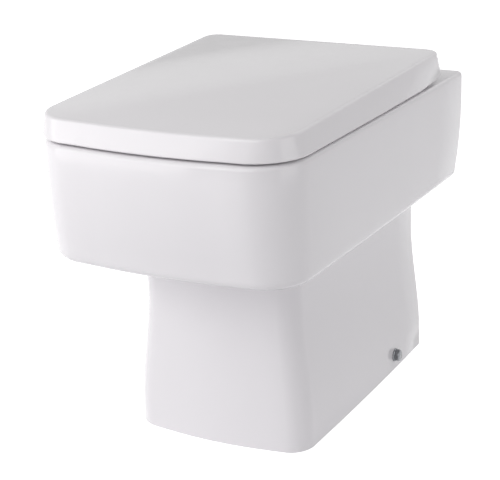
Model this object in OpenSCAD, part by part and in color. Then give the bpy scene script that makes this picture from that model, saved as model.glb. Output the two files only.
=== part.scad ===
// Back to wall toilet: a box-shaped bowl on a narrower pedestal, with a soft-close seat and lid.
// The origin is on the floor, at the middle of the pan's width and depth.
// X runs to the right, the wall is at +Y, the front of the bowl at -Y, and Z is up.

/* [Pan] */
// Width of the pan at the rim, beside the wall
pan_w = 350; // [330:1:380]
// How much narrower the rim is at its front corners than beside the wall
rim_taper = 20; // [12:1:26]
// Depth from the wall to the front of the rim
pan_depth = 520; // [505:1:560]
// Height of the rim above the floor
rim_h = 400; // [385:1:440]
// Bow of the rim's front edge
rim_bow = 20; // [14:1:24]
// Corner radius of the rim seen from above
rim_corner_r = 68; // [56:1:76]
// Radius of the rim's outer top edge
rim_edge_r = 6; // [4:0.5:9]
// Height of the bowl box, from its underside to the rim
box_h = 147; // [140:1:156]
// Radius along the underside of the bowl box
box_round = 12; // [9:0.5:15]
// How far the front of the bowl box leans in at its foot
box_front_lean = 15; // [8:1:18]
// How far the sides of the bowl box lean in at their foot, beside the wall
box_side_lean = 8; // [4:0.5:11]
// Wall thickness of the ceramic skin
skin_t = 11; // [9:0.5:12]
// Thickness of the ledge that carries the hinges
ledge_t = 14; // [12:0.5:16]

/* [Pedestal] */
// Width of the pedestal on the floor
foot_w = 238; // [228:1:250]
// Depth of the pedestal on the floor, from the wall
foot_depth = 391; // [385:1:400]
// Bow of the pedestal's front face
foot_bow = 14; // [8:1:18]
// Corner radius of the pedestal seen from above
foot_corner_r = 32; // [24:1:38]
// Height of the upright band around the foot
foot_band = 40; // [30:1:50]
// Width of the pedestal above its flare
waist_w = 213; // [208:1:222]
// Depth of the pedestal above its flare
waist_depth = 386; // [382:1:392]
// Height at which the flare ends
waist_h = 166; // [140:1:180]
// Fillet between the pedestal and the bowl box
waist_fillet = 14; // [8:1:16]

/* [Bowl] */
// Width of the opening inside the rim
opening_w = 250; // [236:1:262]
// Distance from the wall to the rear of the opening inside the rim
opening_back = 164; // [158:1:172]
// Width of the rim in front of the opening
rim_front_w = 50; // [46:1:56]
// Depth of the rim lip inside the opening
lip_h = 46; // [38:1:52]
// Radius of the rim's inner top edge
lip_edge_r = 6; // [4:0.5:8]
// How far the bowl wall sits back under the lip
lip_undercut = 11; // [8:1:13]
// Wall thickness of the bowl
bowl_t = 10; // [8:0.5:11]
// Height of the standing water above the floor
water_h = 185; // [180:1:190]
// Height of the floor of the sump
sump_h = 62; // [58:1:68]
// Distance from the wall to the rear of the sump
sump_back = 210; // [206:1:214]
// Width of the sump's floor
sump_w = 37; // [33:1:42]
// Length of the sump's floor
sump_len = 69; // [64:1:74]

/* [Outlet and inlet] */
// Outside diameter of the outlet spigot
outlet_d = 102; // [98:0.5:110]
// Wall thickness of the outlet spigot
outlet_t = 10; // [8:0.5:12]
// Height of the outlet's centre above the floor
outlet_h = 180; // [175:1:190]
// Distance from the wall to the end of the spigot
outlet_setback = 40; // [30:1:55]
// Bore of the water trap
trap_d = 58; // [54:1:60]
// Wall thickness of the trap
trap_t = 8; // [7:0.5:10]
// Height of the flush inlet's centre above the floor
inlet_h = 324; // [318:1:330]
// Outside diameter of the inlet socket
socket_d = 78; // [74:1:82]
// Bore of the inlet socket
socket_bore_d = 58; // [54:1:60]
// Depth of the inlet socket
socket_depth = 44; // [38:1:50]
// Bore that leads from the socket into the bowl
inlet_bore_d = 38; // [34:1:40]
// Distance from the wall to the mouth of the inlet socket
inlet_setback = 35; // [25:1:45]
// Diameter of the flush pipe that the seal takes
flush_pipe_d = 42; // [38:0.5:45]

/* [Lid] */
// Distance from the wall to the rear edge of the lid
lid_setback = 58; // [56:1:64]
// How far the lid's rear face leans forward at its top
lid_lean = 4; // [1:0.5:5]
// Height of the lid's top above the rim, at its rear edge
lid_h = 41; // [39:0.5:42]
// Fall of the lid's top towards the front, for each mm
lid_slope = 0.025; // [0.015:0.001:0.027]
// How far the lid's rear corners stay inside the pan's sides
lid_side_in = 3.5; // [2:0.5:6]
// How far the lid's lower edge reaches over the sides of the rim, further forward
lid_overhang = 1.3; // [0:0.1:2]
// How far the lid's front stays behind the rim's front
lid_front_in = 1.5; // [0.5:0.5:4]
// Corner radius of the lid at the front, seen from above
lid_corner_r = 64; // [54:1:70]
// Wall thickness of the lid
lid_t = 4.5; // [4:0.1:5]
// Gap between the lid's lower edge and the rim
lid_gap = 3; // [2:0.5:3.5]
// Radius of the lid's top edge
lid_edge_r = 4; // [3:0.5:6]
// Corner radius of the lid at the rear, seen from above
lid_rear_r = 13; // [8:1:18]
// How much narrower the lid's top is than its lower edge, on each side
lid_draft = 5; // [3:0.5:6]
// How far the lid's front face leans back at its top
lid_front_lean = 7.5; // [4:0.5:9]

/* [Seat] */
// Height of the seat's top above the rim
seat_h = 19; // [18:0.5:20]
// Height of the rubber buffers under the seat
buffer_h = 4; // [3.5:0.5:5]
// Running gap between the seat and the walls of the lid
seat_gap = 2; // [1.5:0.5:3]
// Width of the seat ring at the front
seat_front_w = 62; // [56:1:70]
// Width of the opening in the seat
seat_open_w = 220; // [205:1:230]
// Distance from the wall to the rear of the seat's opening
seat_open_back = 178; // [172:1:190]
// Wall thickness of the seat's shell
seat_t = 7; // [6:0.5:8]
// How deep the seat is hollowed from below
seat_hollow = 7; // [5:0.5:8]

/* [Hinges] */
// Distance between the two hinge fixings
hinge_spacing = 155; // [140:1:165]
// Height of the hinge axis above the rim
axis_h = 25; // [25:0.5:26]
// Diameter of the hinge pins
pin_d = 8; // [7:0.5:8]
// Bore in the seat and lid for the bushes and dampers
knuckle_bore_d = 12; // [11.5:0.5:12.5]
// Outside diameter of the hinge knuckles
knuckle_d = 18; // [17:0.5:18]
// Width of a plain knuckle
knuckle_w = 24; // [20:1:28]
// Width of a knuckle that holds a damper
damper_w = 48; // [44:1:52]
// Width of the hinge bracket's arm
arm_w = 16; // [14:1:18]
// Gap between the bracket's arm and a knuckle
arm_gap = 1; // [0.8:0.1:1.4]
// Diameter of the bracket's base
base_d = 36; // [34:1:38]
// Thickness of the bracket's base
base_t = 4; // [3.5:0.5:4.5]
// Distance from the hinge axis forward to the fixing screw
screw_ahead = 46; // [45:1:50]
// Diameter of the hinge fixing screws
screw_d = 6; // [5:0.5:8]
// Diameter of the holes in the ledge
ledge_hole_d = 15; // [13:0.5:16]

/* [Floor fixing] */
// Distance from the wall to the side bolts
bolt_back = 96; // [80:1:110]
// Height of the side bolts above the floor
bolt_h = 22; // [20:1:26]
// Diameter of the side bolts
bolt_d = 8; // [7:0.5:9]
// Width across the flats of the bolt's head
head_af = 15; // [13:1:15]
// Diameter of the washer under the head
washer_d = 18; // [17:1:21]
// Diameter of the hole through the pedestal wall
side_hole_d = 14; // [12:0.5:15]
// Length of the floor bracket along the wall of the pedestal
bracket_len = 48; // [40:1:60]
// Distance between the two floor screws of a bracket
floor_hole_pitch = 30; // [24:1:34]
// Diameter of the holes for the floor screws
floor_hole_d = 7; // [6:0.5:8]

/* [Hidden] */
$fn = 48;

// Colours of the finishes
ceramic = [0.93, 0.93, 0.92];
thermoset = [0.9, 0.9, 0.91];
chromed = [0.75, 0.76, 0.78];
zinc = [0.62, 0.63, 0.64];
rubbery = [0.25, 0.25, 0.26];
nylon = [0.82, 0.82, 0.8];
acetal = [0.35, 0.36, 0.38];

// Clearances
fit_gap = 0.05;
run_gap = 0.05;
screw_gap = 0.5;
knuckle_gap = 1.5;
swing_gap = 1.6;
cut_over = 1;

// Smoothness of the lofted outlines: segments along each stretch of half an outline
rear_steps = 3;
side_steps = 6;
corner_steps = 7;
front_steps = 5;

wall_y = pan_depth / 2;
ledge_z = rim_h - ledge_t;
under_z = rim_h - box_h;
// The knuckles stay clear of the lid's leaning rear wall, which is 0.75 of its lean further in beside them
axis_in = knuckle_d / 2 + lid_t + 0.75 * lid_lean + knuckle_gap;
axis_y = wall_y - lid_setback - axis_in;
axis_z = rim_h + axis_h;
hinge_x = hinge_spacing / 2;
screw_y = axis_y - screw_ahead;
bolt_y = wall_y - bolt_back;

// ---- Plan outlines ----
// A section is [half width at the rear, halfway, at the front corner, reach from the wall, bow,
// corner radius, rear corner radius].

function grow(s, d) = [s[0] + d, s[1] + d, s[2] + d, s[3] + d, s[4], max(s[5] + d, 3), max(s[6] + d, 1)];
function mix(a, b, t) = a + (b - a) * t;
function ease(t) = t * t * (3 - 2 * t);
function unit(v) = v / norm(v);

// Half width of a section at y, on a curve through its three half widths
function side_x(s, rear_y, y) =
    let (front_y = wall_y - s[3] + s[4], t = (rear_y - y) / (rear_y - front_y))
    s[0] * (1 - t) * (1 - 2 * t) + 4 * s[1] * t * (1 - t) + s[2] * t * (2 * t - 1);

// Points of an arc of radius r that rounds corner v between the directions to and from it
function round_corner(v, to, from, r, steps) =
    let (half = acos(to * from) / 2, a = v + to * r / tan(half), b = v + from * r / tan(half), w = sin(half))
    [for (i = [0 : steps]) let (t = i / steps, k = 2 * w * t * (1 - t))
        ((1 - t) * (1 - t) * a + k * v + t * t * b) / ((1 - t) * (1 - t) + k + t * t)];

// Right half of an outline, from the rear edge round the corners to the middle of the front
function half_outline(s, back) =
    let (rear_y = wall_y - back,
        front_y = wall_y - s[3],
        corner_y = front_y + s[4],
        near_y = corner_y + 1,
        along = unit([side_x(s, rear_y, near_y) - s[2], 1]),
        inward = unit([-s[2], -2 * s[4]]),
        rear = round_corner([s[0], rear_y], [-1, 0], [0, -1], s[6], rear_steps),
        front = round_corner([s[2], corner_y], along, inward, s[5], corner_steps),
        side_top = rear[rear_steps][1],
        side_end = front[0][1],
        bow_x = front[corner_steps][0])
    concat(rear,
        [for (i = [1 : side_steps - 1]) let (y = mix(side_top, side_end, i / side_steps))
            [side_x(s, rear_y, y), y]],
        front,
        [for (i = [1 : front_steps]) let (x = bow_x * (1 - i / front_steps))
            [x, front_y + s[4] * pow(x / s[2], 2)]]);

function outline(s, back) =
    let (h = half_outline(s, back), n = len(h))
    concat(h, [for (i = [n - 2 : -1 : 0]) [-h[i][0], h[i][1]]]);

ring_n = 2 * (rear_steps + side_steps + corner_steps + front_steps) + 1;

function flat_ring(s, back, z) = [for (p = outline(s, back)) [p[0], p[1], z]];

// An oval of ring_n points: half width a, from front_y to rear_y, squareness e
function oval_ring(a, front_y, rear_y, e, z) =
    [for (i = [0 : ring_n - 1])
        let (t = 90 - 360 * (i + 0.5) / ring_n, c = cos(t), s = sin(t))
        [a * sign(c) * pow(abs(c), 2 / e),
         (front_y + rear_y) / 2 + (rear_y - front_y) / 2 * sign(s) * pow(abs(s), 2 / e), z]];

// Skin through a list of rings of equal length, closed at both ends or joined into a loop
module loft(rings, loop = false) {
    n = len(rings[0]);
    m = len(rings);
    skin = [for (j = [0 : loop ? m - 1 : m - 2], i = [0 : n - 1])
        let (a = j * n, b = ((j + 1) % m) * n, k = (i + 1) % n)
        each [[a + i, a + k, b + i], [a + k, b + k, b + i]]];
    ends = loop ? [] : [[for (i = [n - 1 : -1 : 0]) i], [for (i = [0 : n - 1]) (m - 1) * n + i]];
    polyhedron([for (r = rings) each r], concat(skin, ends));
}

module x_rod(d, length) {
    rotate([0, 90, 0]) cylinder(d = d, h = length, center = true);
}

module y_rod(d, from_y, to_y) {
    translate([0, from_y, 0]) rotate([-90, 0, 0]) cylinder(d = d, h = to_y - from_y);
}

module both_sides() {
    children();
    mirror([1, 0, 0]) children();
}

// ---- Pan ----

rim_half = pan_w / 2;
rim = [rim_half, rim_half - rim_taper / 4, rim_half - rim_taper / 2, pan_depth, rim_bow, rim_corner_r, 2];
// The foot of the box: its sides lean in most beside the wall, and its front more than its sides
box_low = [rim[0] - box_side_lean, rim[1] - box_side_lean * 0.3, rim[2], rim[3] - box_front_lean,
    rim_bow * 0.8, rim_corner_r - 10, 2];
foot = [foot_w / 2 - 2.6, foot_w / 2 + 1, foot_w / 2 - 0.4, foot_depth, foot_bow, foot_corner_r, 2];
waist = [waist_w / 2 - 2.6, waist_w / 2 + 1, waist_w / 2 - 0.4, waist_depth, foot_bow, foot_corner_r, 2];
foot_edge_r = 1.5;
under_rise = 2;
flare_steps = 5;
fillet_steps = 3;
round_steps = 5;
edge_steps = 3;
inner_round = 9;
inner_steps = 2;
wall_steps = 4;

// The bowl: [height, half width, front y, rear y, squareness], from the lip down to the sump
lip_z = rim_h - lip_h;
open_front_y = rim_front_w - wall_y;
open_rear_y = wall_y - opening_back;
shoulder_front_y = wall_y - waist_depth + skin_t + bowl_t + 4;
shoulder_half = waist_w / 2 - skin_t - bowl_t - 7;
sump_rear_y = wall_y - sump_back;
sump_front_y = sump_rear_y - sump_len;

// Between the opening and the shoulder, and between the shoulder and the sump, f says how far down it is
function upper_bowl(z, f, rear_y, e) =
    [z, mix(opening_w / 2, shoulder_half, f), mix(open_front_y, shoulder_front_y, f), rear_y, e];
function lower_bowl(z, f, rear_y, e) =
    [z, mix(shoulder_half, sump_w / 2, f), mix(shoulder_front_y, sump_front_y, f), rear_y, e];
bowl_profile = [
    upper_bowl(lip_z + 4, 0, open_rear_y, 3.2),
    [lip_z, opening_w / 2 + 3, open_front_y - 3, open_rear_y + 3, 3.1],
    [lip_z - 4, opening_w / 2 + lip_undercut, open_front_y - lip_undercut, open_rear_y + lip_undercut, 3],
    [lip_z - 25, opening_w / 2 + lip_undercut - 5, open_front_y - 3, open_rear_y + 8, 2.8],
    upper_bowl(lip_z - 45, 0.22, open_rear_y + 3, 2.6),
    upper_bowl(under_z + 43, 0.54, open_rear_y - 4, 2.5),
    upper_bowl(under_z + 31, 0.82, open_rear_y - 9, 2.4),
    lower_bowl(under_z + 17, 0, open_rear_y - 14, 2.3),
    lower_bowl(water_h + 30, 0.15, sump_rear_y + 24, 2.3),
    lower_bowl(water_h, 0.29, sump_rear_y + 11, 2.3),
    lower_bowl(mix(sump_h, water_h, 0.7), 0.44, sump_rear_y + 4, 2.3),
    lower_bowl(mix(sump_h, water_h, 0.4), 0.59, sump_rear_y + 4, 2.2),
    lower_bowl(sump_h + 14, 0.72, sump_rear_y + 2, 2.2),
    lower_bowl(sump_h + 4, 0.85, sump_rear_y - 3, 2.1),
    lower_bowl(sump_h, 1, sump_rear_y - 12, 2)];

// Rings of the bowl from the sump up to entry first of its profile, d larger all round and drop lower
function bowl_rings(d, drop, first) =
    [for (i = [len(bowl_profile) - 1 : -1 : first]) let (b = bowl_profile[i])
        oval_ring(b[1] + d, b[2] - d, b[3] + d, b[4], b[0] - drop)];

// A ring d outside the opening in the rim; the bowl's upper wall fills the one at bowl_t
function rim_hole_ring(d, z) = oval_ring(opening_w / 2 + d, open_front_y - d, open_rear_y + d, 3.2, z);

// The walls of the box lean out from its foot and stand upright over the last part of its height
upright_from = 0.72;
lean_power = 1.8;
function box_wall(t) = mix(box_low, rim, 1 - pow(1 - t, lean_power));
function box_wall_z(t) = mix(under_z + box_round, rim_h, t * upright_from);

// Outer skin from the foot up to the rim
function skin_rings() = concat(
    [flat_ring(grow(foot, -foot_edge_r), 0, 0), flat_ring(foot, 0, foot_edge_r)],
    [for (i = [0 : flare_steps]) let (t = i / flare_steps)
        flat_ring(mix(foot, waist, 0.5 * t + 0.5 * ease(t)), 0, mix(foot_band, waist_h, t))],
    [for (i = [0 : fillet_steps]) let (a = 90 * i / fillet_steps)
        flat_ring(grow(waist, waist_fillet * (1 - cos(a))), 0,
            under_z - under_rise - waist_fillet * (1 - sin(a)))],
    [for (i = [0 : round_steps]) let (a = 90 * i / round_steps)
        flat_ring(grow(box_low, -box_round * (1 - sin(a))), 0, under_z + box_round * (1 - cos(a)))],
    [for (i = [1 : wall_steps]) let (t = i / wall_steps) flat_ring(box_wall(t), 0, box_wall_z(t))],
    [for (i = [0 : edge_steps]) let (a = 90 * i / edge_steps)
        flat_ring(grow(rim, -rim_edge_r * (1 - cos(a))), 0, rim_h - rim_edge_r * (1 - sin(a)))]);

// Inner face of the skin, open to the floor and the wall
function core_rings() = concat(
    [flat_ring(grow(foot, -skin_t), -cut_over, -cut_over), flat_ring(grow(foot, -skin_t), -cut_over, foot_band)],
    [for (t = [0.5, 1]) flat_ring(grow(mix(foot, waist, t), -skin_t), -cut_over, mix(foot_band, waist_h, t))],
    [flat_ring(grow(waist, -skin_t), -cut_over, under_z + skin_t - 6),
     flat_ring(grow(waist, 4 - skin_t), -cut_over, under_z + skin_t - under_rise)],
    [for (i = [0 : inner_steps]) let (a = 90 * i / inner_steps)
        flat_ring(grow(box_low, -skin_t - inner_round * (1 - sin(a))), -cut_over,
            under_z + skin_t + inner_round * (1 - cos(a)))],
    [for (t = [0.5, 1]) flat_ring(grow(box_wall(t), -skin_t), -cut_over, box_wall_z(t))],
    [flat_ring(grow(rim, -skin_t), -cut_over, ledge_z)]);

// The water trap: a path in the Y-Z plane that leaves the sump, rises over the weir and falls to the outlet
trap_bend_r = trap_d / 2 + trap_t + 5;
column_y = sump_rear_y + trap_d / 2 + bowl_t + 10;
weir_y = column_y + trap_bend_r;
weir_z = water_h + trap_d / 2 - 1;
dip_z = sump_h + trap_d / 2 + 1;
spigot_len = 40;
spigot_end_y = wall_y - outlet_setback;
spigot_start_y = spigot_end_y - spigot_len;
bend_steps = 4;
fall_steps = 5;
trap_sides = 20;

// Points [y, z, growth of the radius, direction in y, direction in z]: past the weir each ring stands upright
function trap_path(start_y) = concat(
    [[start_y, dip_z, 0, 1, 0]],
    [for (i = [0 : bend_steps]) let (a = 90 * i / bend_steps)
        [column_y - trap_bend_r * (1 - sin(a)), dip_z + trap_bend_r * (1 - cos(a)), 0, cos(a), sin(a)]],
    [for (i = [0 : bend_steps]) let (a = 90 * i / bend_steps)
        [column_y + trap_bend_r * (1 - cos(a)), weir_z - trap_bend_r * (1 - sin(a)), 0, sin(a), cos(a)]],
    [for (i = [1 : fall_steps]) let (t = i / fall_steps)
        [mix(weir_y, spigot_start_y + 8, t), mix(weir_z, outlet_h, ease(t)), ease(t), 1, 0]]);

// Rings of radius r1 growing to r2 along the path
function trap_rings(path, r1, r2) =
    [for (p = path) let (r = mix(r1, r2, p[2]))
        [for (k = [0 : trap_sides - 1]) let (t = 360 * k / trap_sides)
            [r * cos(t), p[0] - r * sin(t) * p[4], p[1] + r * sin(t) * p[3]]]];

outlet_bore = outlet_d - 2 * outlet_t;
socket_mouth_y = wall_y - inlet_setback;
socket_root_y = open_rear_y + lip_undercut - 2;

// Everything that the bowl's outer face encloses
module bowl_block() {
    loft(concat(bowl_rings(bowl_t, bowl_t * 0.8, 2),
        [rim_hole_ring(bowl_t, ledge_z), rim_hole_ring(bowl_t, rim_h)]));
}

module trap_bore() {
    loft(trap_rings(trap_path(sump_rear_y - 8), trap_d / 2, outlet_bore / 2 - 0.5));
    translate([0, 0, outlet_h]) y_rod(outlet_bore, spigot_start_y, spigot_end_y + cut_over);
}

module inlet_bore() {
    translate([0, 0, inlet_h]) {
        y_rod(socket_bore_d, socket_mouth_y - socket_depth, socket_mouth_y + cut_over);
        y_rod(inlet_bore_d, open_rear_y - 8, socket_mouth_y);
    }
}

// The casting is drawn as four nodes that meet face to face: pan, bowl, trapway and inlet_socket
module pan() {
    color(ceramic) difference() {
        loft(skin_rings());
        loft(core_rings());
        loft([rim_hole_ring(bowl_t, ledge_z - cut_over), rim_hole_ring(bowl_t, rim_h + cut_over)]);
        both_sides() {
            translate([hinge_x, screw_y, ledge_z - cut_over])
                cylinder(d = ledge_hole_d, h = ledge_t + 2 * cut_over);
            translate([foot_w / 2, bolt_y, bolt_h]) x_rod(side_hole_d, 4 * skin_t);
        }
    }
}

module bowl() {
    color(ceramic) difference() {
        bowl_block();
        loft(concat(bowl_rings(0, 0, 0), [for (i = [0 : edge_steps]) let (a = 90 * i / edge_steps)
            rim_hole_ring(lip_edge_r * (1 - cos(a)), rim_h - lip_edge_r * (1 - sin(a)))],
            [rim_hole_ring(lip_edge_r, rim_h + cut_over)]));
        trap_bore();
        inlet_bore();
    }
}

module trapway() {
    color(ceramic) difference() {
        union() {
            loft(trap_rings(trap_path(sump_rear_y - 3), trap_d / 2 + trap_t, outlet_d / 2 - 3));
            translate([0, 0, outlet_h]) y_rod(outlet_d, spigot_start_y, spigot_end_y);
        }
        bowl_block();
        trap_bore();
    }
}

module inlet_socket() {
    color(ceramic) difference() {
        translate([0, 0, inlet_h]) y_rod(socket_d, socket_root_y, socket_mouth_y);
        bowl_block();
        inlet_bore();
    }
}

// ---- Lid ----

lid_rear_y = wall_y - lid_setback;
lid_low_z = rim_h + lid_gap;
lid_top_z = rim_h + lid_h;
// The lower edge rises towards the rear over lift_len, so that it clears the ledge as the lid swings
lid_lift = axis_h - lid_gap - sqrt(pow(axis_h - swing_gap, 2) - pow(axis_in, 2));
lift_len = 57;
lid_low = [rim[0] - lid_side_in, rim[1] + lid_overhang, rim[2] + lid_overhang, pan_depth - lid_front_in,
    rim_bow, lid_corner_r, lid_rear_r];
// The top is narrower all round, least at the rear, and its front edge is straighter
lid_high = [lid_low[0] - lid_draft * 0.45, lid_low[1] - lid_draft * 1.15, lid_low[2] - lid_draft,
    lid_low[3] - lid_front_lean, rim_bow * 0.65, lid_corner_r - 14, lid_rear_r + 6];
post_slot_w = arm_w + 2 * arm_gap + 1;

function lid_top_at(y) = lid_top_z - lid_slope * (lid_rear_y - y);
function ceiling_at(y) = lid_top_at(y) - lid_t;

function lid_low_at(y) = lid_low_z + lid_lift * pow(max(0, (y - lid_rear_y) / lift_len + 1), 2);

// A ring that falls towards the front with the lid's top, drop below it
function upper_ring(inset, drop) =
    [for (p = outline(grow(lid_high, -inset), lid_setback + lid_lean + inset))
        [p[0], p[1], lid_top_at(p[1]) - drop]];

// A ring that follows the lid's lower edge, up above it
function lower_ring(inset, up) =
    [for (p = outline(grow(lid_low, -inset), lid_setback + inset)) [p[0], p[1], lid_low_at(p[1]) + up]];

function lid_rings() = concat(
    [upper_ring(lid_t + 3, lid_t), upper_ring(lid_t, lid_t + 3), lower_ring(lid_t, 0), lower_ring(1, 0),
     lower_ring(0, 1.5)],
    [for (i = [0 : edge_steps]) let (a = 90 * i / edge_steps)
        upper_ring(lid_edge_r * (1 - cos(a)), lid_edge_r * (1 - sin(a)))]);

seat_top_z = rim_h + seat_h;
seat_low_z = rim_h + buffer_h;
lid_buffer_h = 4;
lid_buffer_d = 14;
front_buffer_x = 92;
front_buffer_y = open_front_y - rim_front_w * 0.36;
side_buffer_x = (opening_w + seat_open_w) / 4 + 24;
lid_buffer_spots = [[front_buffer_x, front_buffer_y], [side_buffer_x, -50]];
seat_buffer_spots = [[front_buffer_x, front_buffer_y, 0], [side_buffer_x, 45, 90]];

// A knuckle round the hinge axis, from x = near to x = near + w
module knuckle_body(near, w) {
    translate([near + w / 2, axis_y, axis_z]) x_rod(knuckle_d, w);
}

module knuckle_bore(near, w) {
    translate([near + w / 2, axis_y, axis_z]) x_rod(knuckle_bore_d, w + 2 * cut_over);
}

outer_near = hinge_x + arm_w / 2 + arm_gap;
inner_near = hinge_x - arm_w / 2 - arm_gap;
lid_web_t = knuckle_d * 0.78;

// Joins a knuckle to the underside of the lid
module lid_web(near, w) {
    translate([near, axis_y - lid_web_t / 2, axis_z])
        cube([w, lid_web_t, ceiling_at(axis_y) - axis_z + 0.8]);
}

module lid() {
    color(thermoset)
    difference() {
        union() {
            difference() {
                loft(lid_rings());
                // The rear wall ends higher between the corners, over the hinges
                translate([3 * lid_t - lid_low[0], axis_y + 4, rim_h])
                    cube([2 * lid_low[0] - 6 * lid_t, axis_in, axis_h / 2]);
                both_sides() translate([hinge_x - post_slot_w / 2, axis_y + axis_in / 2, rim_h])
                    cube([post_slot_w, axis_in, ceiling_at(lid_rear_y) - rim_h]);
            }
            knuckle_body(outer_near, damper_w);
            lid_web(outer_near, damper_w);
            knuckle_body(-outer_near - knuckle_w, knuckle_w);
            lid_web(-outer_near - knuckle_w, knuckle_w);
            both_sides() for (p = lid_buffer_spots)
                translate([p[0], p[1], seat_top_z + lid_buffer_h])
                    cylinder(d = lid_buffer_d + 3, h = ceiling_at(p[1]) - seat_top_z - lid_buffer_h + lid_t / 2);
        }
        knuckle_bore(outer_near, damper_w);
        knuckle_bore(-outer_near - knuckle_w, knuckle_w);
    }
}

module lid_buffers() {
    color(rubbery) both_sides() for (p = lid_buffer_spots)
        translate([p[0], p[1], seat_top_z]) cylinder(d = lid_buffer_d, h = lid_buffer_h);
}

// ---- Seat ----

// The seat's rear edge stays clear of the lid's lower edge when the lid stands up
seat_back = lid_setback + axis_in + axis_h - lid_gap + seat_gap + 1;
seat_inset = lid_t + seat_gap;
seat_rear_r = 6;
seat_plan = concat([for (i = [0 : 3]) lid_high[i] - seat_inset],
    [lid_high[4], lid_high[5] - seat_inset, seat_rear_r]);
seat_open_front_in = 14;
seat_open_rear_in = 8;
seat_opening = [seat_open_w / 2 - seat_open_rear_in, seat_open_w / 2, seat_open_w / 2 - seat_open_front_in,
    seat_plan[3] - seat_front_w, 30, 68, 52];
seat_edge_r = 4;
seat_dip = 3;
hollow_z = seat_low_z + seat_hollow;

function seat_rings() = [
    flat_ring(grow(seat_plan, -seat_t), seat_back + seat_t, hollow_z),
    flat_ring(grow(seat_plan, -seat_t + 1), seat_back + seat_t - 1, seat_low_z),
    flat_ring(grow(seat_plan, -1), seat_back + 1, seat_low_z),
    flat_ring(seat_plan, seat_back, seat_low_z + 2),
    flat_ring(seat_plan, seat_back, seat_top_z - seat_edge_r),
    flat_ring(grow(seat_plan, -seat_edge_r * 0.3), seat_back + seat_edge_r * 0.3,
        seat_top_z - seat_edge_r * 0.3),
    flat_ring(grow(seat_plan, -seat_edge_r), seat_back + seat_edge_r, seat_top_z),
    flat_ring(grow(seat_opening, 18), seat_open_back - 18, seat_top_z),
    flat_ring(grow(seat_opening, 7), seat_open_back - 7, seat_top_z - seat_dip * 0.5),
    flat_ring(grow(seat_opening, 2), seat_open_back - 2, seat_top_z - seat_dip - 1.5),
    flat_ring(seat_opening, seat_open_back, seat_top_z - seat_dip - 5),
    flat_ring(seat_opening, seat_open_back, seat_low_z + 1),
    flat_ring(grow(seat_opening, seat_t - 1), seat_open_back - seat_t + 1, seat_low_z),
    flat_ring(grow(seat_opening, seat_t), seat_open_back - seat_t, hollow_z)];

web_ahead = seat_back - lid_setback - axis_in + 10;
web_top = seat_top_z + 2;
web_low = axis_z - knuckle_d / 2;
slot_x = arm_w / 2 + arm_gap;
slot_front_y = screw_y - base_d / 2 + 1;
pad_len = 26;
pad_w = 13;

module pad(l, w, h) {
    translate([-(l - w) / 2, -w / 2, 0]) cube([l - w, w, h]);
    for (s = [-1, 1]) translate([s * (l - w) / 2, 0, 0]) cylinder(d = w, h = h);
}

module seat_arm(near, w) {
    knuckle_body(near, w);
    translate([near, axis_y - web_ahead, web_low]) cube([w, web_ahead, web_top - web_low]);
}

module seat_ring() {
    color(thermoset)
    difference() {
        union() {
            difference() {
                loft(seat_rings(), loop = true);
                both_sides() {
                    translate([hinge_x - slot_x, slot_front_y, rim_h])
                        cube([2 * slot_x, wall_y - seat_back - slot_front_y + cut_over, seat_h + cut_over]);
                    translate([hinge_x, screw_y + 2, rim_h]) cylinder(d = base_d + 4, h = base_t + 3);
                }
            }
            seat_arm(inner_near - knuckle_w, knuckle_w);
            seat_arm(-inner_near, damper_w);
            both_sides() for (p = seat_buffer_spots)
                translate([p[0], p[1], seat_low_z]) rotate([0, 0, p[2]])
                    pad(pad_len + 4, pad_w + 4, seat_hollow + 1);
        }
        knuckle_bore(inner_near - knuckle_w, knuckle_w);
        knuckle_bore(-inner_near, damper_w);
    }
}

module seat_buffers() {
    color(rubbery) both_sides() for (p = seat_buffer_spots)
        translate([p[0], p[1], rim_h]) rotate([0, 0, p[2]]) pad(pad_len, pad_w, buffer_h);
}

// ---- Hinges ----

arm_low = axis_z - 5;
arm_top = axis_z + 4;
post_rear_y = axis_y - axis_h;
post_t = 11;
gasket_t = 1;

module hinge_bracket() {
    color(chromed) difference() {
        union() {
            translate([0, screw_y + 2, rim_h + gasket_t]) cylinder(d = base_d, h = base_t);
            translate([-arm_w / 2, post_rear_y - post_t, rim_h + gasket_t])
                cube([arm_w, post_t, arm_top - rim_h - gasket_t]);
            translate([-arm_w / 2, post_rear_y - 1, arm_low]) cube([arm_w, axis_h + 1, arm_top - arm_low]);
            translate([0, axis_y, axis_z]) x_rod(knuckle_d, arm_w);
        }
        translate([0, axis_y, axis_z]) x_rod(pin_d + 2 * fit_gap, arm_w + 2 * cut_over);
        translate([0, screw_y, rim_h])
            cylinder(d = screw_d + 2 * screw_gap, h = base_t + 2 * gasket_t + cut_over);
    }
}

module hinge_bracket_left() {
    translate([-hinge_x, 0, 0]) hinge_bracket();
}

module hinge_bracket_right() {
    translate([hinge_x, 0, 0]) hinge_bracket();
}

pin_reach = 20;
pin_len = arm_w + 2 * arm_gap + 2 * pin_reach;

module hinge_pin() {
    color(zinc) translate([0, axis_y, axis_z]) x_rod(pin_d, pin_len);
}

module hinge_pin_left() {
    translate([-hinge_x, 0, 0]) hinge_pin();
}

module hinge_pin_right() {
    translate([hinge_x, 0, 0]) hinge_pin();
}

module hinge_gaskets() {
    color(nylon) both_sides() translate([hinge_x, screw_y + 2, rim_h]) difference() {
        cylinder(d = base_d + 1, h = gasket_t);
        translate([0, -2, -cut_over]) cylinder(d = ledge_hole_d, h = gasket_t + 2 * cut_over);
    }
}

// Each screw has a pan head on the base and runs down into the nut of the expansion bush
screw_head_d = 11;
screw_head_h = 3.5;
bush_len = 28;
nut_h = 6;
screw_len = base_t + gasket_t + ledge_t + bush_len + nut_h + 2;
key_af = 4;

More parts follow.
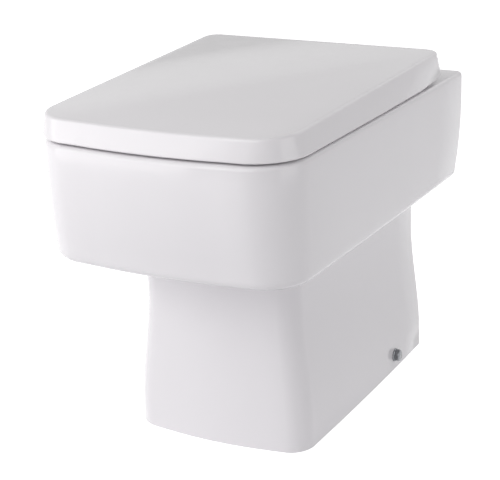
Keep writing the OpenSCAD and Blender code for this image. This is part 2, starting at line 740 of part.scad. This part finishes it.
module hinge_screws() {
    color(zinc) both_sides() translate([hinge_x, screw_y, rim_h + gasket_t + base_t]) difference() {
        union() {
            translate([0, 0, -screw_len]) cylinder(d = screw_d, h = screw_len + 1);
            cylinder(d = screw_head_d, h = screw_head_h);
        }
        translate([0, 0, screw_head_h / 2]) cylinder(d = key_af / cos(30), h = screw_head_h, $fn = 6);
    }
}

// Rubber bush that the nut pulls wide against the underside of the ledge
nut_af = 10;
bush_low_z = ledge_z - bush_len;

module expansion_bushes() {
    color(rubbery) both_sides() translate([hinge_x, screw_y, bush_low_z]) difference() {
        union() {
            cylinder(d = ledge_hole_d - 0.4, h = rim_h - bush_low_z);
            translate([0, 0, bush_len - 12]) cylinder(d1 = ledge_hole_d - 0.4, d2 = ledge_hole_d + 5, h = 6);
            translate([0, 0, bush_len - 6]) cylinder(d = ledge_hole_d + 5, h = 5.8);
        }
        translate([0, 0, -cut_over])
            cylinder(d = screw_d + 2 * screw_gap, h = rim_h - bush_low_z + 2 * cut_over);
    }
}

module bush_nuts() {
    color(zinc) both_sides() translate([hinge_x, screw_y, bush_low_z - nut_h]) difference() {
        cylinder(d = nut_af / cos(30), h = nut_h, $fn = 6);
        translate([0, 0, -cut_over]) cylinder(d = screw_d + 2 * fit_gap, h = nut_h + 2 * cut_over);
    }
}

// A sleeve with a thin thrust flange at x = 0, running towards +X
flange_t = arm_gap - 2 * fit_gap;
flange_d = 15;

module bush_sleeve(w) {
    difference() {
        union() {
            rotate([0, 90, 0]) cylinder(d = knuckle_bore_d - 2 * fit_gap, h = w);
            translate([-flange_t, 0, 0]) rotate([0, 90, 0]) cylinder(d = flange_d, h = flange_t);
        }
        translate([w / 2, 0, 0]) x_rod(pin_d + 2 * run_gap, 2 * w);
    }
}

// A damper cartridge: a closed cylinder with a socket for the pin and a keyed end cap
module damper(w) {
    difference() {
        union() {
            rotate([0, 90, 0]) cylinder(d = knuckle_bore_d - 2 * fit_gap, h = w);
            translate([-flange_t, 0, 0]) rotate([0, 90, 0]) cylinder(d = flange_d, h = flange_t);
            translate([w, 0, 0]) rotate([0, 90, 0]) cylinder(d = knuckle_d - 2, h = 1.5);
        }
        translate([-flange_t - cut_over, 0, 0]) rotate([0, 90, 0])
            cylinder(d = pin_d + 2 * run_gap, h = pin_reach + flange_t + cut_over + 1);
    }
}

module seat_bush() {
    color(acetal) translate([inner_near, axis_y, axis_z]) mirror([1, 0, 0]) bush_sleeve(knuckle_w);
}

module lid_bush() {
    color(acetal) translate([-outer_near, axis_y, axis_z]) mirror([1, 0, 0]) bush_sleeve(knuckle_w);
}

module seat_damper() {
    color(acetal) translate([-inner_near, axis_y, axis_z]) damper(damper_w);
}

module lid_damper() {
    color(acetal) translate([outer_near, axis_y, axis_z]) damper(damper_w);
}

// ---- Floor and side fixing ----

// The pedestal wall beside the bolt: the outer face bulges, so the washer meets its proudest part
wall_out_x = max(side_x(foot, wall_y, bolt_y - washer_d / 2), side_x(foot, wall_y, bolt_y + washer_d / 2));
wall_in_x = min(side_x(grow(foot, -skin_t), wall_y + cut_over, bolt_y - bracket_len / 2),
    side_x(grow(foot, -skin_t), wall_y + cut_over, bolt_y + bracket_len / 2));
washer_t = 2;
head_h = 5.5;
bracket_t = 6;
bracket_up = 44;
bracket_reach = 46;
bracket_gap = 0.3;
bracket_out_x = wall_in_x - bracket_gap;
floor_hole_x = bracket_out_x - bracket_reach * 0.62;
gusset_t = 5;

module floor_bracket() {
    color(nylon) difference() {
        union() {
            translate([bracket_out_x - bracket_t, bolt_y - bracket_len / 2, 0])
                cube([bracket_t, bracket_len, bracket_up]);
            translate([bracket_out_x - bracket_reach, bolt_y - bracket_len / 2, 0])
                cube([bracket_reach, bracket_len, bracket_t]);
            // A gusset at each end braces the upright
            for (s = [-1, 1])
                translate([0, bolt_y + s * (bracket_len - gusset_t) / 2 + gusset_t / 2, 0]) rotate([90, 0, 0])
                    linear_extrude(gusset_t) polygon([[bracket_out_x, 0], [bracket_out_x - bracket_reach, 0],
                        [bracket_out_x - bracket_reach, bracket_t], [bracket_out_x - bracket_t, bracket_up],
                        [bracket_out_x, bracket_up]]);
            translate([bracket_out_x - bracket_t - 5, bolt_y, bolt_h]) x_rod(bolt_d + 10, 12);
        }
        translate([bracket_out_x - bracket_t, bolt_y, bolt_h]) x_rod(bolt_d + 2 * fit_gap, 40);
        for (s = [-1, 1]) translate([floor_hole_x, bolt_y + s * floor_hole_pitch / 2, -cut_over])
            cylinder(d = floor_hole_d, h = bracket_t + 2 * cut_over);
    }
}

module floor_bracket_right() {
    floor_bracket();
}

module floor_bracket_left() {
    mirror([1, 0, 0]) floor_bracket();
}

module side_sleeves() {
    color(nylon) both_sides() difference() {
        translate([(wall_in_x + wall_out_x) / 2, bolt_y, bolt_h])
            x_rod(side_hole_d - 2 * fit_gap, wall_out_x - wall_in_x - 0.6);
        translate([foot_w / 2, bolt_y, bolt_h]) x_rod(bolt_d + 2 * fit_gap, 8 * skin_t);
    }
}

module side_washers() {
    color(chromed) both_sides() difference() {
        translate([wall_out_x, bolt_y, bolt_h]) rotate([0, 90, 0]) {
            cylinder(d = washer_d, h = washer_t * 0.6);
            translate([0, 0, washer_t * 0.6]) cylinder(d1 = washer_d, d2 = washer_d - 1.5, h = washer_t * 0.4);
        }
        translate([foot_w / 2, bolt_y, bolt_h]) x_rod(bolt_d + 2 * fit_gap, 4 * skin_t);
    }
}

bolt_len = wall_out_x + washer_t - bracket_out_x + bracket_t + 12;

module side_bolts() {
    color(chromed) both_sides() translate([wall_out_x + washer_t, bolt_y, bolt_h]) rotate([0, 90, 0]) {
        translate([0, 0, -bolt_len]) cylinder(d = bolt_d, h = bolt_len + 1);
        intersection() {
            cylinder(d = head_af / cos(30), h = head_h, $fn = 6);
            cylinder(r1 = head_af / 2 + head_h * 1.6, r2 = head_af / 2, h = head_h);
        }
    }
}

// ---- Flush pipe seal ----

seal_flange_t = 4;

module inlet_seal() {
    color(rubbery) translate([0, 0, inlet_h]) difference() {
        union() {
            y_rod(socket_bore_d - 2 * fit_gap, socket_mouth_y - socket_depth + 2, socket_mouth_y);
            y_rod(socket_d - 6, socket_mouth_y, socket_mouth_y + seal_flange_t);
        }
        y_rod(flush_pipe_d, socket_mouth_y - socket_depth, socket_mouth_y + seal_flange_t + cut_over);
    }
}

pan();
bowl();
trapway();
inlet_socket();
seat_ring();
lid();
hinge_bracket_left();
hinge_bracket_right();
hinge_pin_left();
hinge_pin_right();
hinge_gaskets();
hinge_screws();
expansion_bushes();
bush_nuts();
seat_bush();
lid_bush();
seat_damper();
lid_damper();
seat_buffers();
lid_buffers();
floor_bracket_left();
floor_bracket_right();
side_sleeves();
side_washers();
side_bolts();
inlet_seal();
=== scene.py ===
import math
from collections import defaultdict

import bmesh
import bpy
from mathutils import Matrix, Vector


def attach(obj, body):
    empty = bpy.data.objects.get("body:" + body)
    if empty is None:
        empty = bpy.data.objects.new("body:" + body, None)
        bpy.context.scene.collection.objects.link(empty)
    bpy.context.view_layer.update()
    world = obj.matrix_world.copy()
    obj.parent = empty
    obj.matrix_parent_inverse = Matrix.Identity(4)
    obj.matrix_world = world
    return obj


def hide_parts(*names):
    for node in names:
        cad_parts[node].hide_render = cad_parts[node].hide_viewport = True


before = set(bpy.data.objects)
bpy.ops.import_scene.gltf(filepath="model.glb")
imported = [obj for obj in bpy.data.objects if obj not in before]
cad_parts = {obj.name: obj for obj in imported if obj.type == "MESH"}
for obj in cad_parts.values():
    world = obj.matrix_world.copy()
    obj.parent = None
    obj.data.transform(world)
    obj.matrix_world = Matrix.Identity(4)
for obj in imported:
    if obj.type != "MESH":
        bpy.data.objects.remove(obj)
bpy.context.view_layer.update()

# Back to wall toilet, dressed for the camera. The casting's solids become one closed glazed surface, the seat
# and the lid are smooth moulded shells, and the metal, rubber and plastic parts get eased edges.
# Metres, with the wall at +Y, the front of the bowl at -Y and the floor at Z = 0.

MM = 0.001


# ---- Materials ----

def linear(code):
    """The linear colour of an sRGB hex value."""
    values = [int(code[i:i + 2], 16) / 255 for i in (0, 2, 4)]
    return [v / 12.92 if v <= 0.04045 else ((v + 0.055) / 1.055) ** 2.4 for v in values] + [1.0]


def add(tree, kind, settings=None, **inputs):
    """Adds a node with its settings. An input is a value, or the output socket that feeds it.

    An input is named as its socket, with _ for a space, or _ and its number where names repeat.
    """
    made = tree.nodes.new(kind)
    for name, value in (settings or {}).items():
        setattr(made, name, value)
    for name, value in inputs.items():
        socket = made.inputs[int(name[1:])] if name[0] == "_" else made.inputs[name.replace("_", " ")]
        if isinstance(value, bpy.types.NodeSocket):
            tree.links.new(value, socket)
        else:
            socket.default_value = value
    return made


def new_material(name):
    """A material without nodes, and its node tree."""
    material = bpy.data.materials.new(name)
    material.use_nodes = True
    material.node_tree.nodes.clear()
    return material, material.node_tree


def surface(name, pale, deep, patch_mm, grain_mm, lift_mm, rough, spread, **shader):
    """A finish with its real variation, measured in mm on the object.

    Its colour drifts from pale to deep over patches of patch_mm. Its grain of grain_mm lifts the surface by
    lift_mm and moves the roughness by spread to either side of rough. The rest goes to the shader's sockets.
    """
    material, tree = new_material(name)
    place = add(tree, "ShaderNodeTexCoord").outputs["Object"]
    patches = add(tree, "ShaderNodeTexNoise", Vector=place, Scale=1 / (patch_mm * MM), Detail=2.0,
                  Roughness=0.45)
    tint = add(tree, "ShaderNodeMix", {"data_type": "RGBA"}, Factor=patches.outputs["Fac"],
               _6=linear(pale), _7=linear(deep))
    grain = add(tree, "ShaderNodeTexNoise", Vector=place, Scale=1 / (grain_mm * MM), Detail=2.0,
                Roughness=0.5)
    gloss = add(tree, "ShaderNodeMapRange", Value=grain.outputs["Fac"], To_Min=rough - spread,
                To_Max=rough + spread)
    relief = add(tree, "ShaderNodeBump", Height=grain.outputs["Fac"], Strength=1.0, Distance=lift_mm * MM)
    body = add(tree, "ShaderNodeBsdfPrincipled", Base_Color=tint.outputs[2],
               Roughness=gloss.outputs["Result"], Normal=relief.outputs["Normal"], **shader)
    add(tree, "ShaderNodeOutputMaterial", Surface=body.outputs["BSDF"])
    return material


# Vitreous china, slip-cast and glazed: a dense white body under a glassy coat that settles into low waves
glazed_china = surface(
    "glazed vitreous china", "F3F0F3", "EFECEF", patch_mm=160, grain_mm=45, lift_mm=0.05,
    rough=0.12, spread=0.03, IOR=1.50)
# Thermoset (urea) seat material, hot-pressed and polished: opaque white, a touch softer in gloss than glaze
polished_thermoset = surface(
    "polished urea thermoset", "F2EFF2", "EEEBEE", patch_mm=120, grain_mm=30, lift_mm=0.02,
    rough=0.20, spread=0.04, IOR=1.56)
# Chrome plate over turned steel and die-cast zinc: a bright cool mirror with faint handling haze
chrome_plate = surface(
    "bright chrome plate", "C9CBCE", "BFC2C6", patch_mm=9, grain_mm=2.5, lift_mm=0.004,
    rough=0.12, spread=0.05, Metallic=1.0)
# The chrome plate of the two bolts and washers that show, with dark reflections painted in as a darker grey
# base: a deep grey mirror, so each facet reads by itself
chrome_painted_dark = surface(
    "chrome plate painted dark", "8A8C90", "76787B", patch_mm=7, grain_mm=1.8, lift_mm=0.004,
    rough=0.14, spread=0.05, Metallic=1.0)
# Steel with clear-passivated zinc plate: grey with a faint blue cast and a fine crystalline bloom
zinc_plate = surface(
    "zinc-plated steel", "B9BDC2", "A3A7AB", patch_mm=6, grain_mm=0.9, lift_mm=0.006,
    rough=0.36, spread=0.08, Metallic=1.0)
# Moulded EPDM rubber: black-grey and matt, with the light skin of the mould
moulded_epdm = surface(
    "moulded EPDM rubber", "2B2B2D", "222223", patch_mm=14, grain_mm=1.2, lift_mm=0.03,
    rough=0.72, spread=0.08, IOR=1.52)
# Soft pale elastomer of the buffers: milky grey, with light passing a little way in
buffer_elastomer = surface(
    "soft buffer elastomer", "DEDEDC", "D2D2D0", patch_mm=10, grain_mm=1.4, lift_mm=0.02,
    rough=0.55, spread=0.08, IOR=1.50,
    Subsurface_Weight=0.15, Subsurface_Radius=(0.003, 0.003, 0.0025), Subsurface_Scale=1.0)
# Natural nylon, injection moulded: warm off-white, satin, with faint flow marks
moulded_nylon = surface(
    "natural moulded nylon", "E2E0D6", "D6D3C8", patch_mm=18, grain_mm=1.6, lift_mm=0.015,
    rough=0.46, spread=0.07, IOR=1.53)
# Acetal, injection moulded: dark grey, dense and waxy, finer than the nylon
moulded_acetal = surface(
    "dark moulded acetal", "54565A", "484A4E", patch_mm=12, grain_mm=1.0, lift_mm=0.008,
    rough=0.38, spread=0.06, IOR=1.48)


# ---- Meshes ----

# The CAD meshes are loose triangles: corners closer than this are welded, and shorter edges are taken out
WELD = 0.004 * MM
SHORTEST_EDGE = 0.002 * MM
# Neighbours that turn less than this become one face
FLAT_DEG = 0.5
# An edge that turns more than this stays crisp: on the large glazed and moulded shells, and on small parts
SHELL_CREASE_DEG = 40
PART_CREASE_DEG = 32
EASED_STEPS = 2


def merged(*nodes):
    """The CAD meshes of these nodes in one bmesh, with their loose triangles welded together."""
    bm = bmesh.new()
    for name in nodes:
        bm.from_mesh(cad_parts[name].data)
    bmesh.ops.remove_doubles(bm, verts=bm.verts, dist=WELD)
    bmesh.ops.dissolve_degenerate(bm, edges=bm.edges, dist=SHORTEST_EDGE)
    return bm


def move_points(places):
    """Moves each vertex to its new place, once all the places are known."""
    for vert, place in places.items():
        vert.co = place


def new_object(bm, name):
    """Makes the bmesh an object of the scene."""
    mesh = bpy.data.meshes.new(name)
    bm.to_mesh(mesh)
    bm.free()
    made = bpy.data.objects.new(name, mesh)
    bpy.context.scene.collection.objects.link(made)
    return made


def finish_piece(bm, name, nodes, body, material, crease_deg):
    """Makes the bmesh a piece: smooth, with edges sharper than crease_deg kept crisp."""
    for face in bm.faces:
        face.smooth = True
    for edge in bm.edges:
        edge.smooth = edge.is_manifold and edge.calc_face_angle(0) < math.radians(crease_deg)
    piece = new_object(bm, name)
    piece.data.materials.append(material)
    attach(piece, body)
    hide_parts(*nodes)
    return piece


def ease_edges(piece, width_mm, from_deg):
    """Rounds the edges sharper than from_deg, as moulds, plating and tumbling do."""
    bevel = piece.modifiers.new("eased edges", "BEVEL")
    bevel.width = width_mm * MM
    bevel.segments = EASED_STEPS
    bevel.limit_method = "ANGLE"
    bevel.angle_limit = math.radians(from_deg)
    bevel.harden_normals = True


# ---- The casting ----

# One fired piece, which the CAD keeps as four solids
CASTING = ("pan", "bowl", "trapway", "inlet_socket")
# The solids only touch. Each after the first grows by this, so that the join takes away the walls between
# them, and the steps that this leaves along the seams are then welded
JOIN_GROWTH_MM = 0.01
JOIN_WELD = 0.05 * MM
# A join that changes the volume by a larger share than this has lost a solid
JOIN_LOSS = 0.01


def casting_piece():
    """The four solids of the casting, joined into one closed glazed surface."""
    parts = []
    volume = 0
    for node in CASTING:
        bm = merged(node)
        if parts:
            bm.normal_update()
            move_points({v: v.co + v.normal * v.calc_shell_factor() * JOIN_GROWTH_MM * MM for v in bm.verts})
        volume += bm.calc_volume()
        parts.append(new_object(bm, node + "_part"))
    for part in parts[1:]:
        join = parts[0].modifiers.new("join", "BOOLEAN")
        join.operation = "UNION"
        join.solver = "MANIFOLD"
        join.object = part
    joined = parts[0].evaluated_get(bpy.context.evaluated_depsgraph_get())
    bm = bmesh.new()
    bm.from_mesh(joined.to_mesh())
    for mesh in [part.data for part in parts]:
        bpy.data.meshes.remove(mesh)
    if abs(bm.calc_volume() / volume - 1) > JOIN_LOSS:
        # The casting then keeps its solids side by side
        bm.free()
        bm = merged(*CASTING)
    bmesh.ops.remove_doubles(bm, verts=bm.verts, dist=JOIN_WELD)
    bmesh.ops.dissolve_degenerate(bm, edges=bm.edges, dist=JOIN_WELD)
    finish_piece(bm, "casting", CASTING, "base", glazed_china, SHELL_CREASE_DEG)


casting_piece()


# ---- The seat, the lid and the parts that hold them ----

# The part of the seat ring that lies round its opening: half its width, and its front and rear
OPENING_SIDE = 140 * MM
OPENING_FRONT = -215 * MM
OPENING_REAR = 101 * MM
# The ends of a level edge differ by less than this in height, and the normal of a level face is this upright
LEVEL_EDGE = 0.01 * MM
LEVEL_FACE = 0.9999
# Triangles of the opening's walls that turn less than this are paired
PAIRED_DEG = 60
# A level edge there gets this many new points if its length is between these, in mm
RING_CUTS = ((11, 60, 200), (3, 22, 60), (1, 12, 22))
SETTLING_ROUNDS = 10


def even_opening(bm):
    """Rounds the seat's opening: the rings round it get more points, which settle into smooth curves."""
    def around(vert):
        return abs(vert.co.x) < OPENING_SIDE and OPENING_FRONT < vert.co.y < OPENING_REAR

    def slopes(face):
        return abs(face.normal.z) < LEVEL_FACE

    def ring_edges():
        return [e for e in bm.edges if abs(e.verts[0].co.z - e.verts[1].co.z) < LEVEL_EDGE
                and all(around(v) for v in e.verts) and any(slopes(f) for f in e.link_faces)]

    walls = [f for f in bm.faces if all(around(v) for v in f.verts) and slopes(f)]
    bmesh.ops.join_triangles(bm, faces=walls, angle_face_threshold=math.radians(PAIRED_DEG),
                             angle_shape_threshold=math.radians(PAIRED_DEG))
    for cuts, shortest, longest in RING_CUTS:
        wide = [e for e in ring_edges() if shortest * MM < e.calc_length() < longest * MM]
        bmesh.ops.subdivide_edges(bm, edges=wide, cuts=cuts, use_grid_fill=True)
    beside = defaultdict(list)
    for edge in ring_edges():
        for vert in edge.verts:
            beside[vert].append(edge.other_vert(vert))
    for _ in range(SETTLING_ROUNDS):
        move_points({v: v.co / 2 + (pair[0].co + pair[1].co) / 4 for v, pair in beside.items()
                     if len(pair) == 2})


def node_piece(node, body, material, ease_mm=0, crease_deg=PART_CREASE_DEG, reshape=None):
    """A welded copy of a CAD node, reshaped if need be, with its edges eased by ease_mm."""
    bm = merged(node)
    if reshape:
        reshape(bm)
    bmesh.ops.dissolve_limit(bm, angle_limit=math.radians(FLAT_DEG), verts=bm.verts, edges=bm.edges)
    piece = finish_piece(bm, node + "_finished", (node,), body, material, crease_deg)
    if ease_mm:
        ease_edges(piece, ease_mm, crease_deg)


# The two shells come with rounded edges, so they need no easing
node_piece("seat_ring", "seat", polished_thermoset, crease_deg=SHELL_CREASE_DEG,
           reshape=even_opening)
node_piece("lid", "cover", polished_thermoset, crease_deg=SHELL_CREASE_DEG)

for side in ("left", "right"):
    node_piece("hinge_bracket_" + side, "base", chrome_plate, ease_mm=0.8)
    node_piece("hinge_pin_" + side, "base", zinc_plate, ease_mm=0.5)
    node_piece("floor_bracket_" + side, "base", moulded_nylon, ease_mm=0.7)

for node, body, slot, material, ease_mm in (
        ("hinge_gaskets", "base", "nylon", moulded_nylon, 0.2),
        ("hinge_screws", "base", "steel", zinc_plate, 0.4),
        ("expansion_bushes", "base", "rubber", moulded_epdm, 0.5),
        ("bush_nuts", "base", "steel", zinc_plate, 0.4),
        ("seat_bush", "seat", "acetal", moulded_acetal, 0.2),
        ("lid_bush", "cover", "acetal", moulded_acetal, 0.2),
        ("seat_damper", "seat", "acetal", moulded_acetal, 0.2),
        ("lid_damper", "cover", "acetal", moulded_acetal, 0.2),
        ("seat_buffers", "seat", "buffer_rubber", buffer_elastomer, 0.8),
        ("lid_buffers", "cover", "buffer_rubber", buffer_elastomer, 0.8),
        ("side_sleeves", "base", "nylon", moulded_nylon, 0.3),
        # The side washers and bolts take the chrome with its reflections painted darker
        ("side_washers", "base", "chrome", chrome_painted_dark, 0.3),
        ("side_bolts", "base", "chrome", chrome_painted_dark, 0.35),
        ("inlet_seal", "base", "rubber", moulded_epdm, 0.8)):
    node_piece(node, body, material, ease_mm)


# ---- Floor, light and camera ----

FLOOR_REACH = 6.0
# Light that the floor adds towards the camera, so that it comes out white
FLOOR_GLOW = 0.84
SKY_LEVEL = 0.29
# The soft boxes face this point in the middle of the object, and stand this far from it
LIT_POINT = Vector((0, 0, 0.25))
BOX_DISTANCE = 3.0


def white_to_camera(tree):
    """The factor 1 for rays that should see plain white: from the camera, off gloss or through glass."""
    rays = add(tree, "ShaderNodeLightPath")
    first = add(tree, "ShaderNodeMath", {"operation": "MAXIMUM"}, _0=rays.outputs["Is Camera Ray"],
                _1=rays.outputs["Is Glossy Ray"])
    return add(tree, "ShaderNodeMath", {"operation": "MAXIMUM"}, _0=first.outputs[0],
               _1=rays.outputs["Is Transmission Ray"]).outputs[0]


def studio_floor():
    """A wide pale floor. To the camera it glows up to white, and the object's shadow stays on it."""
    bm = bmesh.new()
    bmesh.ops.create_grid(bm, x_segments=1, y_segments=1, size=FLOOR_REACH)
    floor = new_object(bm, "studio_floor")
    material, tree = new_material("matt studio floor")
    place = add(tree, "ShaderNodeTexCoord").outputs["Object"]
    cloud = add(tree, "ShaderNodeTexNoise", Vector=place, Scale=0.8, Detail=1.0)
    tint = add(tree, "ShaderNodeMix", {"data_type": "RGBA"}, Factor=cloud.outputs["Fac"],
               _6=linear("E4E4E6"), _7=linear("E1E1E3"))
    matt = add(tree, "ShaderNodeBsdfDiffuse", Color=tint.outputs[2])
    glow = add(tree, "ShaderNodeEmission", Color=linear("FFFFFF"), Strength=FLOOR_GLOW)
    both = add(tree, "ShaderNodeAddShader", _0=matt.outputs[0], _1=glow.outputs[0])
    seen = add(tree, "ShaderNodeMixShader", _0=white_to_camera(tree), _1=matt.outputs[0], _2=both.outputs[0])
    add(tree, "ShaderNodeOutputMaterial", Surface=seen.outputs[0])
    floor.data.materials.append(material)


def studio_sky(level):
    """Even light from all round; rays that should see the backdrop see white."""
    world = bpy.data.worlds.new("studio")
    bpy.context.scene.world = world
    world.use_nodes = True
    tree = world.node_tree
    tree.nodes.clear()
    soft = add(tree, "ShaderNodeBackground", Color=linear("FFFFFF"), Strength=level)
    white = add(tree, "ShaderNodeBackground", Color=linear("FFFFFF"), Strength=1.0)
    seen = add(tree, "ShaderNodeMixShader", _0=white_to_camera(tree), _1=soft.outputs[0], _2=white.outputs[0])
    add(tree, "ShaderNodeOutputWorld", Surface=seen.outputs[0])


def direction(azimuth, elevation):
    """The way from the object to azimuth (0 in front, 90 on its right) and elevation, in degrees."""
    a, e = math.radians(azimuth), math.radians(elevation)
    return Vector((math.sin(a) * math.cos(e), -math.cos(a) * math.cos(e), math.sin(e)))


def soft_box(name, size, power, azimuth, elevation):
    """A square soft box of that size in metres and power in watts, which faces the object."""
    lamp = bpy.data.lights.new(name, "AREA")
    lamp.shape = "SQUARE"
    lamp.size = size
    lamp.energy = power
    back = direction(azimuth, elevation)
    holder = bpy.data.objects.new(name, lamp)
    holder.location = LIT_POINT + back * BOX_DISTANCE
    holder.rotation_euler = back.to_track_quat("Z", "Y").to_euler()
    holder.visible_camera = False
    bpy.context.scene.collection.objects.link(holder)


def photo_camera():
    """The camera that a fit to the outlines in the photograph gives."""
    azimuth, elevation, roll = 28.34, 18.866, math.radians(-1.904)
    target, distance = Vector((-0.011285, 0, 0.222433)), 1.9392
    focal_px, photo_width_px = 1526.4, 500
    back = direction(azimuth, elevation)
    level = Vector((0, 0, 1)).cross(back).normalized()
    upright = back.cross(level)
    right = level * math.cos(roll) + upright * math.sin(roll)
    top = upright * math.cos(roll) - level * math.sin(roll)
    data = bpy.data.cameras.new("photo_camera")
    data.sensor_width = 36.0
    data.lens = data.sensor_width * focal_px / photo_width_px
    camera = bpy.data.objects.new("photo_camera", data)
    turn = Matrix((right, top, back)).transposed().to_4x4()
    camera.matrix_world = Matrix.Translation(target + back * distance) @ turn
    bpy.context.scene.collection.objects.link(camera)
    bpy.context.scene.camera = camera


studio_floor()
studio_sky(SKY_LEVEL)
soft_box("left soft box", size=3.2, power=65, azimuth=-46, elevation=11)
soft_box("high soft box", size=2.0, power=19, azimuth=2, elevation=40)
soft_box("right soft box", size=2.0, power=15.5, azimuth=90, elevation=10)
soft_box("rear soft box", size=2.0, power=9, azimuth=155, elevation=36)
photo_camera()

bpy.context.scene.view_settings.view_transform = "Standard"
